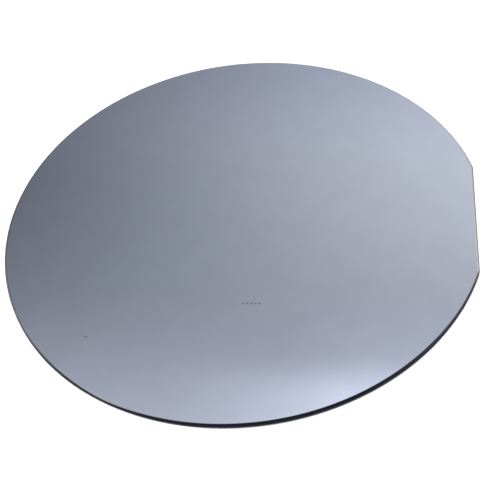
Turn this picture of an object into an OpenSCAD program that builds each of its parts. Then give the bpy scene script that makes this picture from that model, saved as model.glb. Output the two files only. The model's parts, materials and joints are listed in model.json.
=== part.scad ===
// Silicon wafer: one thin round slice of crystal with a primary flat.
// The whole rim is ground to one edge profile, which runs without a break round
// the circle, round the two flat corners and along the flat.
// Millimetres. The origin is the circle's centre on the back face, +Z comes out of
// the polished front face, and the primary flat faces -Y.

/* [Slice] */
// Diameter of the slice over its round rim
wafer_d = 50.8; // [38:0.1:76.2]
// Thickness from the back face to the front face
wafer_t = 0.5; // [0.46:0.01:1]

/* [Primary flat] */
// Length of the flat between the two points where its line crosses the full circle
flat_len = 14.5; // [14:0.01:20]
// Radius of the round corner at each end of the flat
corner_r = 2; // [0.5:0.1:4]

/* [Ground edge] */
// How far each bevel reaches in from the rim
bevel_w = 0.23; // [0.15:0.01:0.25]
// Slope of each bevel, in degrees below the face
bevel_slope = 22; // [18:1:28]
// Radius that blends each bevel into the upright land
blend_r = 0.12; // [0.05:0.01:0.13]

/* [Finish] */
// Colour of the polished silicon
wafer_colour = "lightslategray"; // [lightslategray, slategray, silver, dimgray]

/* [Hidden] */

wafer_r = wafer_d / 2;

// Distance from the centre to the flat.
flat_y = sqrt(pow(wafer_r, 2) - pow(flat_len / 2, 2));

// A rounding circle crosses both of its edges at a small angle. The eye reads it
// as tangent, and the cut that it makes has clean ends.
blend_meet = 4;
corner_meet = 2;

// Rounding of the edge profile, at the foot of each bevel: how far the circle's
// centre lies in from the rim, and how deep below the face.
blend_inset = blend_r * cos(blend_meet);
blend_depth = (bevel_w - blend_inset) * tan(bevel_slope) + blend_inset / cos(bevel_slope);

// Rounding of the outline, at each end of the flat: the centre of the corner's
// circle, and the angle from the flat's outward direction to the rim's.
corner_y = flat_y - corner_r * cos(corner_meet);
corner_from_centre =
    sqrt(pow(wafer_r, 2) + pow(corner_r, 2) - 2 * wafer_r * corner_r * cos(corner_meet));
corner_x = sqrt(pow(corner_from_centre, 2) - pow(corner_y, 2));
corner_turn = atan2(corner_x, corner_y);

// How far a cutting shape stands proud of what it cuts.
proud = 1;

rim_fn = 360;
corner_fn = 180;
blend_fn = 72;

// Triangle with its tip at the origin, which holds a corner between two directions
// and reaches well past a circle of radius r.
function corner_wedge(r, from, to) = [
    [0, 0],
    2 * r * [cos(from), sin(from)],
    2 * r * [cos(to), sin(to)]
];

// What rounding to radius r takes off a sharp corner.
module blend_waste(from, to) {
    difference() {
        polygon(corner_wedge(blend_r, from, to));
        circle(r = blend_r, $fn = blend_fn);
    }
}

// Section through the ground edge, from x = 0 out to the land at x = reach.
module edge_section(reach) {
    bevel_drop = bevel_w * tan(bevel_slope);
    difference() {
        polygon([
            [0, 0],
            [reach - bevel_w, 0],
            [reach, bevel_drop],
            [reach, wafer_t - bevel_drop],
            [reach - bevel_w, wafer_t],
            [0, wafer_t]
        ]);
        translate([reach - blend_inset, blend_depth])
            blend_waste(bevel_slope - 90, 0);
        translate([reach - blend_inset, wafer_t - blend_depth])
            blend_waste(0, 90 - bevel_slope);
    }
}

// The slice as it would be with no flat.
module ground_disc() {
    rotate_extrude($fn = rim_fn)
        edge_section(wafer_r);
}

// A plate wider than the disc, with the same ground edge along the flat.
module ground_plate() {
    plate_x = wafer_r + proud;
    translate([plate_x, plate_x, 0])
        rotate([90, 0, -90])
            linear_extrude(height = 2 * plate_x)
                edge_section(flat_y + plate_x);
}

// What the grinding wheel takes off as it turns from the flat to the rim.
// side is 1 at the +X end of the flat and -1 at the -X end.
module corner_waste(side) {
    from = side > 0 ? -90 : -90 - corner_turn;
    translate([side * corner_x, -corner_y, 0])
        difference() {
            translate([0, 0, -proud])
                linear_extrude(height = wafer_t + 2 * proud)
                    polygon(corner_wedge(corner_r, from, from + corner_turn));
            rotate_extrude($fn = corner_fn)
                edge_section(corner_r);
        }
}

module wafer() {
    color(wafer_colour)
        difference() {
            intersection() {
                ground_disc();
                ground_plate();
            }
            for (side = [-1, 1]) corner_waste(side);
        }
}

wafer();
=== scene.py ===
# %% [markdown]
# # A polished silicon wafer
#
# The object is one thin, round slice of silicon crystal. Its front is polished to a
# mirror, its back is etched matt, and its rim is ground to a small rounded edge. One
# straight flat on the rim shows which way the crystal lies. There is nothing else to
# model, so the whole lesson is about a clean edge, finishes that are true, and a room
# that looks good in a mirror.
#
# The solid model is loaded first. It fixes the place and the size of everything that
# follows, so its box is measured before any piece is added.

# %% Load the frame
import json
import math

import bmesh
import bpy
from mathutils import Matrix, Vector


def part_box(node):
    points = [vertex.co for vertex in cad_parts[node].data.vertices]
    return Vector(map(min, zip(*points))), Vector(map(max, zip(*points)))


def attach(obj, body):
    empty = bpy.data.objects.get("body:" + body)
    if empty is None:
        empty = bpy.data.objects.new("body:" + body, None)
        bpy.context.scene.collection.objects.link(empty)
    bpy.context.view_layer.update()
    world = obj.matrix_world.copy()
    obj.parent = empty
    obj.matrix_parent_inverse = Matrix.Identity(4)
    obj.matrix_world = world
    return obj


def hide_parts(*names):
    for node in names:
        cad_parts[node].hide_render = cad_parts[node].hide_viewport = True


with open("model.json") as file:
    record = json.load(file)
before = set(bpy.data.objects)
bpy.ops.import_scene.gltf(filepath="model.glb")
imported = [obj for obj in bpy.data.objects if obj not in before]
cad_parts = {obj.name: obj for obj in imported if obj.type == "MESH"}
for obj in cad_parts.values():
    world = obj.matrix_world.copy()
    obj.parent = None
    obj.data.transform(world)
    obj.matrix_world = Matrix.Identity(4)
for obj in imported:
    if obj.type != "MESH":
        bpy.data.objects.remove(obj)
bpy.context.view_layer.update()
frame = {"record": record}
MM = 0.001

# %% [markdown]
# ## Sizes
#
# The frame already knows how big the wafer is: its mounts give the radius of the round
# rim and the place of the flat. Only the shape of the ground edge is written here, in
# millimetres, because it is too fine to read from a mount. Millimetres are also kinder
# to the merge and spin operators than metres, so the mesh is built in them and brought
# to metres at the end.

# %% Sizes of the slice
mounts = {mount["name"]: mount for mount in frame["record"]["mounts"]}
rim_r = mounts["round_rim"]["dims"]["r_mm"]
flat_y = -mounts["primary_flat"]["pos_m"][1] / MM
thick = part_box("wafer")[1].z / MM

bevel_w = 0.23
bevel_slope = math.radians(22)
blend_r = 0.12
corner_r = 2.0
print(f"radius {rim_r:.2f} mm, centre to flat {flat_y:.3f} mm, thickness {thick:.2f} mm")

# %% [markdown]
# ## One section of the ground edge
#
# A grinding wheel with a shaped groove runs round the slice, so every section through
# the rim is the same: a bevel on each face, a small blend, and an upright land between
# them. It could be made by bevelling a thin cylinder, but that bevel has equal legs and
# is quite flat. The real one is long, shallow and slightly crowned, because a groove
# wears round. The crown matters in a mirror: the light runs across the bevel instead of
# filling it all at once. So the section is a chain of two arcs that meet at one slope,
# and a mirror makes its lower half. Each arc is a spin of the chain's last point.

# %% Draw the section
CROWN = math.radians(10)
CROWN_STEPS = 8
BLEND_STEPS = 8

half = thick / 2
first_slope = bevel_slope - CROWN
last_slope = bevel_slope + CROWN
crown_reach = bevel_w - blend_r * (1 - math.sin(last_slope))
crown_r = crown_reach / (math.sin(last_slope) - math.sin(first_slope))


def faces_to(slope):
    """The way that a surface with this slope faces, in the plane of the section."""
    return Vector((math.sin(slope), 0, math.cos(slope)))


def sweep(geom, centre, axis, turn, steps, step_along=(0, 0, 0)):
    """Carry points and edges on along an arc or a line, and return them at its end."""
    swept = bmesh.ops.spin(
        slice_mesh, geom=geom, cent=centre, axis=axis, dvec=step_along,
        angle=turn, steps=steps, use_merge=False, use_duplicate=False,
    )
    return swept["geom_last"]


slice_mesh = bmesh.new()
face_edge = slice_mesh.verts.new((rim_r - bevel_w, 0, half))
crown_centre = face_edge.co - crown_r * faces_to(first_slope)
blend_centre = crown_centre + (crown_r - blend_r) * faces_to(last_slope)
bevel_foot = sweep([face_edge], crown_centre, (0, 1, 0), 2 * CROWN, CROWN_STEPS)
sweep(bevel_foot, blend_centre, (0, 1, 0), math.pi / 2 - last_slope, BLEND_STEPS)
bmesh.ops.mirror(
    slice_mesh, geom=slice_mesh.verts[:] + slice_mesh.edges[:], matrix=Matrix(),
    merge_dist=0, axis="Z",
)
land_ends = [
    vert for vert in slice_mesh.verts
    if len(vert.link_edges) == 1 and vert.co.x > rim_r - blend_r / 2
]
slice_mesh.edges.new(land_ends)
land_height = abs(land_ends[0].co.z - land_ends[1].co.z)
print(f"section: {len(slice_mesh.verts)} points, with a land {land_height:.4f} mm high")

# %% [markdown]
# ## Sweep the section round the rim
#
# The section is carried along the path that the wheel takes: an arc for the rim, a small
# arc at each end of the flat, and a straight run along it. Each arc is a spin about its
# own centre, and the flat is a spin with no angle that only steps sideways. The last
# section lands on the first, where the doubles are merged.

# %% Sweep it
RIM_STEPS = 720
CORNER_STEPS = 10
FLAT_STEPS = 24
DOUBLES = 0.001
UP = Vector((0, 0, 1))

corner_y = flat_y - corner_r
corner_x = math.sqrt((rim_r - corner_r) ** 2 - corner_y ** 2)
corner_turn = math.atan2(corner_x, corner_y)
flat_step = (2 * corner_x / FLAT_STEPS, 0, 0)

bmesh.ops.rotate(
    slice_mesh, verts=slice_mesh.verts[:], cent=(0, 0, 0),
    matrix=Matrix.Rotation(corner_turn - math.pi / 2, 3, UP),
)
section = slice_mesh.verts[:] + slice_mesh.edges[:]
section = sweep(section, (0, 0, 0), UP, 2 * (math.pi - corner_turn), RIM_STEPS)
section = sweep(section, (-corner_x, -corner_y, 0), UP, corner_turn, CORNER_STEPS)
section = sweep(section, (0, 0, 0), UP, 0, FLAT_STEPS, flat_step)
section = sweep(section, (corner_x, -corner_y, 0), UP, corner_turn, CORNER_STEPS)
bmesh.ops.remove_doubles(slice_mesh, verts=slice_mesh.verts[:], dist=DOUBLES)
lowest_y = min(vert.co.y for vert in slice_mesh.verts)
print(f"edge: {len(slice_mesh.faces)} faces, flat at y = {lowest_y:.4f} mm")

# %% [markdown]
# ## Close the two faces
#
# What is left open is the front and the back, each a loop that one flat face can fill.
# A many-sided face is hard on other programs, so an inset gives it a ring of small
# four-sided faces round its border, and a poke a fan of triangles from its middle. A flat
# face must stay perfectly flat in a mirror, so the caps aren't smoothed, and the line
# where a bevel starts is kept sharp: on the real slice it is a crisp edge.

# %% Fill the faces
FACE_RING = 0.5
LEVEL = math.cos(first_slope / 2)

rims = [edge for edge in slice_mesh.edges if edge.is_boundary]
caps = bmesh.ops.edgeloop_fill(slice_mesh, edges=rims)["faces"]
bmesh.ops.recalc_face_normals(slice_mesh, faces=slice_mesh.faces[:])
bmesh.ops.inset_individual(slice_mesh, faces=caps, thickness=FACE_RING, use_even_offset=True)
bmesh.ops.poke(slice_mesh, faces=caps)
for face in slice_mesh.faces:
    face.smooth = abs(face.normal.z) < LEVEL
for edge in slice_mesh.edges:
    edge.smooth = len({face.smooth for face in edge.link_faces}) == 1
open_edges = sum(not edge.is_manifold for edge in slice_mesh.edges)
print(f"slice: {len(slice_mesh.faces)} faces, {open_edges} open edges,", end=" ")
print(f"{slice_mesh.calc_volume():.1f} mm3")

# %% [markdown]
# ## Sort the finishes and hand the piece over
#
# Four finishes meet on the slice. The front is polished and the back is etched. The
# bevel keeps a half-bright grind, because the wheel only grazes it, and the land, where
# the wheel cuts deepest, is left rough, with its colour painted nearly black as shade.
# Each face takes its finish from the way it points: level ones are front or back, those
# that slope as the crown does are bevel, and all that are steeper are land. Then the mesh
# is lifted on to the ground, brought to metres and given to the frame, where it stands
# for the plain CAD solid.

# %% Make the object
FRONT, BEVEL, LAND, BACK = range(4)
STEEP = math.cos(last_slope)

for face in slice_mesh.faces:
    upright = abs(face.normal.z)
    face.material_index = BEVEL if upright > STEEP else LAND
    if upright > LEVEL:
        face.material_index = FRONT if face.normal.z > 0 else BACK
bmesh.ops.translate(slice_mesh, verts=slice_mesh.verts[:], vec=(0, 0, half))
bmesh.ops.scale(slice_mesh, verts=slice_mesh.verts[:], vec=(MM, MM, MM))

wafer_data = bpy.data.meshes.new("wafer_slice")
slice_mesh.to_mesh(wafer_data)
slice_mesh.free()
wafer = bpy.data.objects.new("wafer_slice", wafer_data)
bpy.context.collection.objects.link(wafer)
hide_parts("wafer")
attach(wafer, "root")
print("wafer_slice box in mm:", [round(side / MM, 3) for side in wafer.dimensions])

# %% [markdown]
# ## A short way to write a shader
#
# A finish is a small sum: so much of this colour where that noise is high, less near the
# rim. Node by node such a sum is long to write and hard to read. This class wraps one
# output socket, so that Python's own signs add the Math nodes, and every other node
# comes from one method. Plain numbers stay plain: they are set on the socket itself.


# %% The socket wrapper
class Wire:
    """One output socket of a node, which Python's arithmetic signs can work on."""

    def __init__(self, socket):
        self.socket = socket

    @classmethod
    def node(cls, tree, kind, settings=None, inputs=None, output=0):
        """Add a node, set it up, fill its inputs with values or wires, and give one output."""
        made = tree.nodes.new(kind)
        for name, value in (settings or {}).items():
            setattr(made, name, value)
        for key, value in (inputs or {}).items():
            if isinstance(value, Wire):
                tree.links.new(value.socket, made.inputs[key])
            else:
                made.inputs[key].default_value = value
        return cls(made.outputs[output]) if made.outputs else None

    def maths(self, operation, *values):
        """Put the values through one Math node, in the tree that this wire is in."""
        inputs = dict(enumerate(values))
        return Wire.node(self.socket.id_data, "ShaderNodeMath", {"operation": operation}, inputs)

    def __add__(self, other):
        return self.maths("ADD", self, other)

    def __sub__(self, other):
        return self.maths("SUBTRACT", self, other)

    def __rsub__(self, other):
        return self.maths("SUBTRACT", other, self)

    def __mul__(self, other):
        return self.maths("MULTIPLY", self, other)

    def __abs__(self):
        return self.maths("ABSOLUTE", self)

    __radd__ = __add__
    __rmul__ = __mul__

    def step(self, low, high, bottom=0.0, top=1.0):
        """A soft step: bottom below low, top above high, and an easy curve between."""
        return Wire.node(
            self.socket.id_data, "ShaderNodeMapRange", {"interpolation_type": "SMOOTHSTEP"},
            {"Value": self, "From Min": low, "From Max": high, "To Min": bottom, "To Max": top},
        )


print("a Wire knows", ["+", "-", "*", "abs", "step"])

# %% [markdown]
# ## Helpers for places, colours and surfaces
#
# Colours go through a Mix node and places through Vector Math, because a Math node would
# turn a colour grey. All patterns are read in millimetres on the object's own
# coordinates, so that a number in a finish is a size on the real slice, and the pattern
# stays where it is when the piece moves.


# %% Helpers
def place_in_mm(tree, centre=(0, 0, 0), stretch=(1, 1, 1)):
    """The object's own coordinates in millimetres from a centre, stretched by axis."""
    metres = Wire.node(tree, "ShaderNodeTexCoord", output="Object")
    per_metre = [along / MM for along in stretch]
    offset = [-along * by for along, by in zip(centre, stretch)]
    return Wire.node(
        tree, "ShaderNodeVectorMath", {"operation": "MULTIPLY_ADD"},
        {0: metres, 1: per_metre, 2: offset},
    )


MIX_FACTOR, MIX_FIRST, MIX_SECOND, MIX_COLOUR = 0, 6, 7, 2


def mixed(factor, first, second):
    """Go from the first colour to the second as the factor goes from 0 to 1."""
    inputs = {MIX_FACTOR: factor, MIX_FIRST: first, MIX_SECOND: second}
    for colour in (MIX_FIRST, MIX_SECOND):
        if not isinstance(inputs[colour], Wire):
            inputs[colour] = (*inputs[colour], 1)
    return Wire.node(
        factor.socket.id_data, "ShaderNodeMix", {"data_type": "RGBA"}, inputs,
        output=MIX_COLOUR,
    )


def noise(place, per_mm, detail=2.0):
    """A cloudy pattern from 0 to 1, with about per_mm clouds to the millimetre."""
    return Wire.node(
        place.socket.id_data, "ShaderNodeTexNoise", {},
        {"Vector": place, "Scale": per_mm, "Detail": detail},
    )


def bump(height, depth_mm, strength=1.0):
    """Turn a height from 0 to 1 into a normal, as if it were depth_mm deep."""
    return Wire.node(
        height.socket.id_data, "ShaderNodeBump", {},
        {"Height": height, "Distance": depth_mm * MM, "Strength": strength},
        output="Normal",
    )


def finish(name, paint):
    """Make a material whose one Principled surface gets what paint(tree) returns."""
    material = bpy.data.materials.new(name)
    material.use_nodes = True
    tree = material.node_tree
    tree.nodes.clear()
    surface = Wire.node(tree, "ShaderNodeBsdfPrincipled", {}, paint(tree))
    Wire.node(tree, "ShaderNodeOutputMaterial", {}, {"Surface": surface})
    print("finish", name, "has", len(tree.nodes), "nodes")
    return material


# %% [markdown]
# ## A speck and a row of dots on the front
#
# Two small things break the mirror. One is a speck of dirt, about half a millimetre
# long, which is an oval with a ragged border: the distance from its centre, with some
# noise added. The other is a short row of round laser dots, of the plain kind that helps
# a machine to find its place. They spell nothing. Each dot could be a mask of its own,
# but one formula draws them all: Vector Math's Wrap folds the whole face into a single
# square cell with a dot in its middle, which fills the face with dots. Two more masks
# then keep one row and the dots that are wanted.

# %% Speck and dots
SPECK_AT = (-15.94, 13.77, 0)
SPECK_WIDE, SPECK_LONG = 0.135, 0.27
DOTS_AT = (-11.60, -2.17, 0)
DOTS = 5
DOT_PITCH = 0.40


def speck_mask(tree):
    """1 on the speck of dirt, and 0 off it."""
    across = place_in_mm(tree, SPECK_AT, (1 / SPECK_WIDE, 1 / SPECK_LONG, 0))
    away = Wire.node(
        tree, "ShaderNodeVectorMath", {"operation": "LENGTH"}, {0: across}, output="Value"
    )
    ragged = noise(place_in_mm(tree), 9)
    return 1 - (away + ragged * 0.8).step(1.1, 1.6)


def dots_mask(tree):
    """1 on each laser dot of the row, and 0 off it."""
    pitches = place_in_mm(tree, DOTS_AT, (1 / DOT_PITCH, 1 / DOT_PITCH, 0))
    from_dot = Wire.node(
        tree, "ShaderNodeVectorMath", {"operation": "WRAP"},
        {0: pitches, 1: (0.5, 0.5, 0.5), 2: (-0.5, -0.5, -0.5)},
    )
    away = Wire.node(
        tree, "ShaderNodeVectorMath", {"operation": "LENGTH"}, {0: from_dot}, output="Value"
    )
    across = Wire.node(tree, "ShaderNodeSeparateXYZ", {}, {0: pitches}, output="X")
    counted = Wire.node(tree, "ShaderNodeSeparateXYZ", {}, {0: pitches}, output="Y")
    in_row = 1 - abs(across).step(0.45, 0.50)
    in_count = 1 - abs(counted).step(DOTS / 2 - 0.05, DOTS / 2)
    return (1 - away.step(0.24, 0.40)) * in_row * in_count


print(f"row of dots: {DOTS * DOT_PITCH:.2f} mm long")

# %% [markdown]
# ## The polished front
#
# Polished silicon is a dark mirror: it sends back a little over a third of the light,
# and slightly more of the blue. That is a metal with a grey-blue base and hardly any
# roughness. A wiped wafer is never evenly clean, so faint clouds of haze change its tone
# and its roughness from place to place. The dots are melted pits, darker and rougher
# than the mirror, and the dirt isn't metal at all.

# %% Polished front
MIRROR_DEEP, MIRROR_PALE = (0.315, 0.342, 0.413), (0.351, 0.378, 0.449)
PIT_COLOUR = (0.17, 0.185, 0.225)
DIRT_COLOUR = (0.085, 0.095, 0.13)


def polished(tree):
    haze = noise(place_in_mm(tree), 0.35, 4.0)
    dots = dots_mask(tree)
    speck = speck_mask(tree)
    mirror = mixed(haze, MIRROR_DEEP, MIRROR_PALE)
    marked = mixed(dots, mirror, PIT_COLOUR)
    return {
        "Base Color": mixed(speck, marked, DIRT_COLOUR),
        "Metallic": 1 - speck,
        "Roughness": 0.025 + haze * 0.02 + dots * 0.4 + speck * 0.6,
        "Normal": bump(1 - dots, 0.002),
    }


front_finish = finish("polished_front", polished)

# %% [markdown]
# ## The ground bevel
#
# The bevel is silicon too, but a fine wheel has left it half-bright: it blurs what it
# mirrors, and its fine scratches turn the blue of the polish to a plain grey. The
# wheel's marks run along the rim. The height of a point is the same all the way round
# such a mark, so noise that is stretched thin along z draws them on the bevel, the
# corners and the flat alike.

# %% Ground bevel
GRIND_DEEP, GRIND_PALE = (0.285, 0.288, 0.300), (0.320, 0.323, 0.335)


def wheel_marks(tree, per_mm):
    """Fine lines that run along the rim, about per_mm of them to a millimetre of height."""
    return noise(place_in_mm(tree, stretch=(0.3, 0.3, per_mm)), 1.0, 3.0)


def half_bright(tree):
    marks = wheel_marks(tree, 90)
    return {
        "Base Color": mixed(marks, GRIND_DEEP, GRIND_PALE),
        "Metallic": 1.0,
        "Roughness": 0.09 + marks * 0.08,
        "Normal": bump(marks, 0.001, 0.5),
    }


bevel_finish = finish("ground_bevel", half_bright)

# %% [markdown]
# ## The rough land and its painted shade
#
# On the land the wheel has torn the crystal into pits, so it isn't a mirror any more and
# its gloss is low. Ground silicon is a darkish grey, but the base here is painted darker
# still, nearly black with a cold blue tint: that is painted shade, which makes the rim's
# edge dark. The marks are coarser than on the bevel.

# %% Rough land
# Painted shade: the land's base is set nearly black and cold blue, darker than ground silicon,
# so the rim's edge reads dark.
SHADED_LAND_DEEP, SHADED_LAND_PALE = (0.002, 0.003, 0.006), (0.007, 0.008, 0.018)


def rough(tree):
    marks = wheel_marks(tree, 45)
    pits = noise(place_in_mm(tree), 12)
    return {
        "Base Color": mixed(marks * pits, SHADED_LAND_DEEP, SHADED_LAND_PALE),
        "Roughness": 0.45 + pits * 0.2,
        "Specular IOR Level": 0.10,
        "Normal": bump(marks + pits * 0.5, 0.003, 0.7),
    }


land_finish = finish("rough_land_painted_shade", rough)

# %% [markdown]
# ## The etched back
#
# The back was sawn, lapped and then etched in acid, which leaves a satin grey skin of
# shallow pits with broad, faint clouds. It is still bare silicon, so it is the same
# metal as the front with a high roughness and a fine bump.

# %% Etched back
SATIN_DEEP, SATIN_PALE = (0.27, 0.29, 0.33), (0.33, 0.35, 0.39)


def etched(tree):
    pits = noise(place_in_mm(tree), 14, 4.0)
    clouds = noise(place_in_mm(tree), 0.15)
    return {
        "Base Color": mixed(clouds, SATIN_DEEP, SATIN_PALE),
        "Metallic": 1.0,
        "Roughness": 0.38 + clouds * 0.08 + pits * 0.06,
        "Normal": bump(pits, 0.004, 0.7),
    }


back_finish = finish("etched_back", etched)
for material in (front_finish, bevel_finish, land_finish, back_finish):
    wafer_data.materials.append(material)
print("materials on the slice:", [material.name for material in wafer_data.materials])

# %% [markdown]
# ## A floor to lie on
#
# The wafer lies on a plain pale board. The board is a wide disc, so that its far edge is
# out of the way in every view, and it has a touch of uneven tone, as card has.

# %% Floor
FLOOR_R = 3.0
FLOOR_STEPS = 128
BOARD_DEEP, BOARD_PALE = (0.80, 0.80, 0.80), (0.83, 0.83, 0.83)

floor_mesh = bmesh.new()
bmesh.ops.create_circle(floor_mesh, cap_ends=True, radius=FLOOR_R, segments=FLOOR_STEPS)
floor_data = bpy.data.meshes.new("floor")
floor_mesh.to_mesh(floor_data)
floor_mesh.free()
floor = bpy.data.objects.new("floor", floor_data)
bpy.context.collection.objects.link(floor)


def pale_board(tree):
    tone = noise(place_in_mm(tree), 0.004)
    return {
        "Base Color": mixed(tone, BOARD_DEEP, BOARD_PALE),
        "Roughness": 0.8,
        "Specular IOR Level": 0.2,
    }


floor_data.materials.append(finish("pale_board", pale_board))

# %% [markdown]
# ## The camera
#
# The camera stands close, looks down at about 49 degrees, and is a little rolled. Its
# place is worked out from these angles rather than written as coordinates: first the
# directions ahead, across and below, then the roll, and then the eye, far enough back
# along the look.

# %% Camera
LOOK_TURN = math.radians(12.46)
LOOK_DOWN = math.radians(49.01)
ROLL = math.radians(-9.18)
CAMERA_FAR = 106.25
AIM_RIGHT, AIM_BELOW = 0.86, 3.29
LENS = 72
SENSOR = 36
NEAREST, FARTHEST = 0.01, 10

ahead = Vector((math.cos(LOOK_TURN), math.sin(LOOK_TURN), 0))
bright_side = ahead.cross(UP)
look = ahead * math.cos(LOOK_DOWN) - UP * math.sin(LOOK_DOWN)
below = look.cross(bright_side)
screen_right = bright_side * math.cos(ROLL) - below * math.sin(ROLL)
screen_down = bright_side * math.sin(ROLL) + below * math.cos(ROLL)
eye = screen_right * AIM_RIGHT + screen_down * AIM_BELOW - look * CAMERA_FAR

camera_data = bpy.data.cameras.new("camera")
camera_data.lens = LENS
camera_data.sensor_width = SENSOR
camera_data.clip_start = NEAREST
camera_data.clip_end = FARTHEST
camera = bpy.data.objects.new("camera", camera_data)
bpy.context.collection.objects.link(camera)
facing = Matrix((screen_right, -screen_down, -look)).transposed().to_4x4()
camera.matrix_world = Matrix.Translation(eye * MM) @ facing
bpy.context.scene.camera = camera
print("camera at", [round(side, 1) for side in eye], "mm")

# %% [markdown]
# ## A room for the mirror
#
# A mirror has no shade of its own: what shows in it is the room. Walls and lamps could be
# built round the slice, but each one would have to be placed and lit by trial. So the
# room is painted on the world instead, in soft steps on a few measures of the direction
# that is looked in: how far it leans to the bright side, ahead or up, how far towards the
# front wall, how far from a dark corner, and how far up the lamp. The wall and the corner
# don't stand square to the view, but at a slant. The way up the lamp is the screen's
# downward direction, turned over as a level mirror turns it, so that the lamp's edge runs
# level across the picture.

# %% Measure the directions
SLANT = math.radians(23)

world = bpy.data.worlds.new("studio")
bpy.context.scene.world = world
world.use_nodes = True
sky = world.node_tree
sky.nodes.clear()
toward = Wire.node(sky, "ShaderNodeTexCoord", output="Generated")


def along(direction):
    """How far the direction that is looked in leans along the given one, from -1 to 1."""
    return Wire.node(
        sky, "ShaderNodeVectorMath", {"operation": "DOT_PRODUCT"},
        {0: toward, 1: tuple(direction)}, output="Value",
    )


sideways = along(bright_side)
forward = along(ahead)
upward = along(UP)
wallward = along(ahead * math.cos(SLANT) - bright_side * math.sin(SLANT))
from_corner = along(bright_side * math.cos(SLANT) - ahead * math.sin(SLANT))
lampward = along((screen_down.x, screen_down.y, -screen_down.z))
print("the room has", len(sky.nodes) - 1, "measures")

# %% [markdown]
# ## The wall and the lamp in front
#
# The polished front mirrors what is ahead and well above the floor. There a wall goes
# from dark on one side to light on the other, and above it is a long soft lamp, which
# fills the near part of the mirror. The ends of the wall have steps of their own, which
# only the rim mirrors. Low on the bright side the wall is shaded, because a slice that
# is seen from there would otherwise melt into the floor.

# %% Front wall and lamp
far_left = sideways.step(-0.90, -0.45, 0.60, 0.0)
far_right = sideways.step(0.50, 0.70, 0.0, 0.30)
wall = sideways.step(-0.36, 0.44, 0.22, 1.80) + far_left + far_right
upper_wall = sideways.step(-0.23, 0.64, 0.89, 0.30) - sideways.step(-0.60, -0.30, 0.60, 0.0)
rise = lampward.step(-0.12, 0.26)
far_fade = lampward.step(-0.24, -0.09, 0.70, 1.0)
lamp = lampward.step(0.03, 0.40) * sideways.step(0.0, 0.12, 1.14, 2.85)
lamp_edge = lampward.step(0.10, 0.15, 0.0, 0.6) * sideways.step(-0.13, 0.08)
low_shade = sideways.step(0.62, 0.76, 0.0, 0.48) * (1 - upward.step(0.32, 0.44))
front_light = (wall * (1 - rise) + upper_wall * rise) * far_fade + lamp + lamp_edge
front_light = front_light * (1 - low_shade)
print("wall and lamp bring the room to", len(sky.nodes), "nodes")

# %% [markdown]
# ## The ceiling and the rest of the room
#
# Behind the top of the front wall the room has a dark ceiling, and below the ceiling
# there is a pale wall all round. The near bevel leans back far enough to mirror the
# ceiling, while the flat front beside it still mirrors the lamp: that is why a bright
# slice has a nearly black edge. Towards both sides the ceiling comes lower, and on the
# dull side it runs into a dark corner, so the black edge thins out slowly round the rim
# and doesn't just stop. On the bright side a little light bounces up on to the ceiling.

# %% Ceiling and walls
SIDE_DROP = 0.3

in_front = forward.step(0.34, 0.44)
reach = sideways.step(0.55, 0.75, 0.0, 0.10)
ceiling = (1 - wallward.step(0.04, 0.15)) * (1 - (forward - reach).step(0.16, 0.28))
ceiling = ceiling * (upward + abs(sideways) * SIDE_DROP).step(0.66, 0.80)
dark_corner = (1 - from_corner.step(-0.71, -0.56)) * forward.step(-0.10, 0.32, 0.95, 0.52)
bounce = sideways.step(0.35, 0.85, 0.048, 0.25)
around = upward.step(0.0, 0.35, 0.60, 0.95) + upward.step(0.60, 0.80, 0.0, 0.30)
around = around * (1 - ceiling) * (1 - dark_corner) + bounce
light = front_light * in_front + around * (1 - in_front)
print("ceiling and walls bring it to", len(sky.nodes), "nodes")

# %% [markdown]
# ## A tint for each part of the room
#
# No room is quite grey. The dull end and the foot of the wall are a little blue, its
# bright end is a little warm, and the ceiling is the bluest, except where light bounces
# on to it. The tints go into the world's colour and the light into its strength, so one
# can be changed without the other.

# %% Tints
DULL_END, BRIGHT_END = (0.965, 1.0, 1.045), (0.995, 1.0, 0.972)
WALL_FOOT = (0.98, 1.0, 1.05)
LAMP_WHITE = (0.99, 1.0, 1.03)
CEILING_BLUE = (0.83, 0.96, 1.50)

wall_tint = mixed(sideways.step(-0.16, 0.12), DULL_END, BRIGHT_END)
wall_tint = mixed(lampward.step(-0.18, -0.06), WALL_FOOT, wall_tint)
tint = mixed(lampward.step(0.02, 0.09), wall_tint, LAMP_WHITE)
bluest = (ceiling * (1.1 - bounce * 2.5) + dark_corner * 0.4) * (1 - in_front)
tint = mixed(bluest, tint, CEILING_BLUE)
glow = Wire.node(sky, "ShaderNodeBackground", {}, {"Color": tint, "Strength": light})
Wire.node(sky, "ShaderNodeOutputWorld", {}, {"Surface": glow})
bpy.context.scene.view_settings.view_transform = "Standard"
print("the whole room is made of", len(sky.nodes), "nodes")

# %% [markdown]
# ## A soft lamp for the floor
#
# The room alone leaves the floor grey, and a lamp straight overhead lifts it to white.
# The wider the lamp, the further a soft shadow spreads from under the rim, so it is kept
# to fifteen degrees, which leaves a clean outline. Seen in the bevel such a lamp would be
# a bright line, so it is hidden from reflections, as a flag hides one in a real studio.

# %% Overhead lamp
SUN_STRENGTH = 3.4
SUN_WIDTH = math.radians(15)

overhead_data = bpy.data.lights.new("overhead", "SUN")
overhead_data.energy = SUN_STRENGTH
overhead_data.angle = SUN_WIDTH
overhead = bpy.data.objects.new("overhead", overhead_data)
bpy.context.collection.objects.link(overhead)
overhead.visible_glossy = False
print("overhead lamp:", round(math.degrees(SUN_WIDTH)), "degrees wide")
